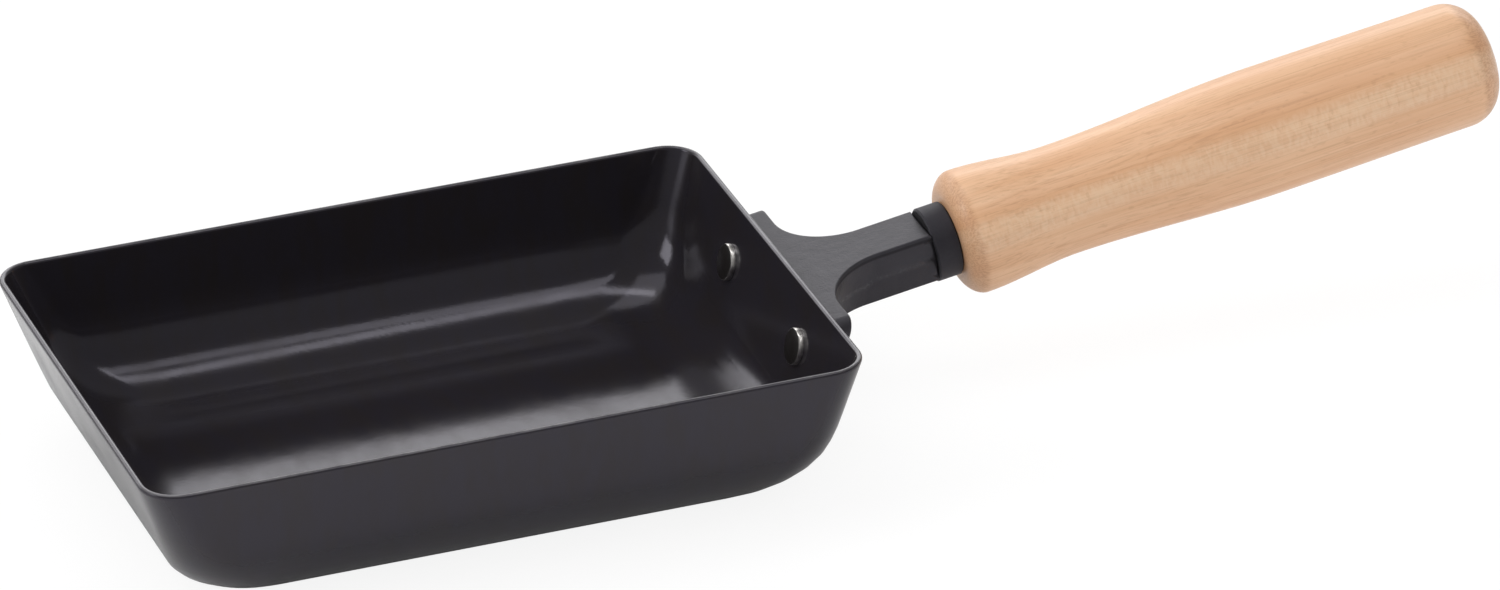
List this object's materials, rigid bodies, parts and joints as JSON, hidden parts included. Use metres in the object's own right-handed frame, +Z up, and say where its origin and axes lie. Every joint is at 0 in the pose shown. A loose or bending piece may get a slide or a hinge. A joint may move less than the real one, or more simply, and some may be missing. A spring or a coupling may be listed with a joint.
{
  "type": "tamagoyaki pan",
  "caption": "Rectangular pressed-iron omelette pan with flared walls, a cast bracket riveted to its end wall and a turned wooden handle.",
  "frame": {"origin": "centre of the tray's flat outer floor, on the surface that the pan rests on", "axes": "+Z up out of the tray, +X towards the handle, +Y to the right of a person who holds the handle and looks along it at the tray"},
  "size_m": [0.3648, 0.13, 0.0701],
  "materials": {
    "black_iron": "satin black-oxide iron sheet",
    "cast_bracket": "matt dark grey casting with a fine grain",
    "black_collar": "matt black",
    "beech": "turned beech, satin lacquer",
    "plain_steel": "plain steel",
    "rivet_iron": "dark steel, brighter at the edge"
  },
  "bodies": {
    "root": {"pan_body": "black_iron", "handle_bracket": "cast_bracket", "handle_collar": "black_collar", "wooden_grip": "beech", "handle_bolt": "plain_steel", "bolt_washer": "plain_steel", "rivet_front": "rivet_iron", "rivet_back": "rivet_iron"}
  },
  "joints": []
}
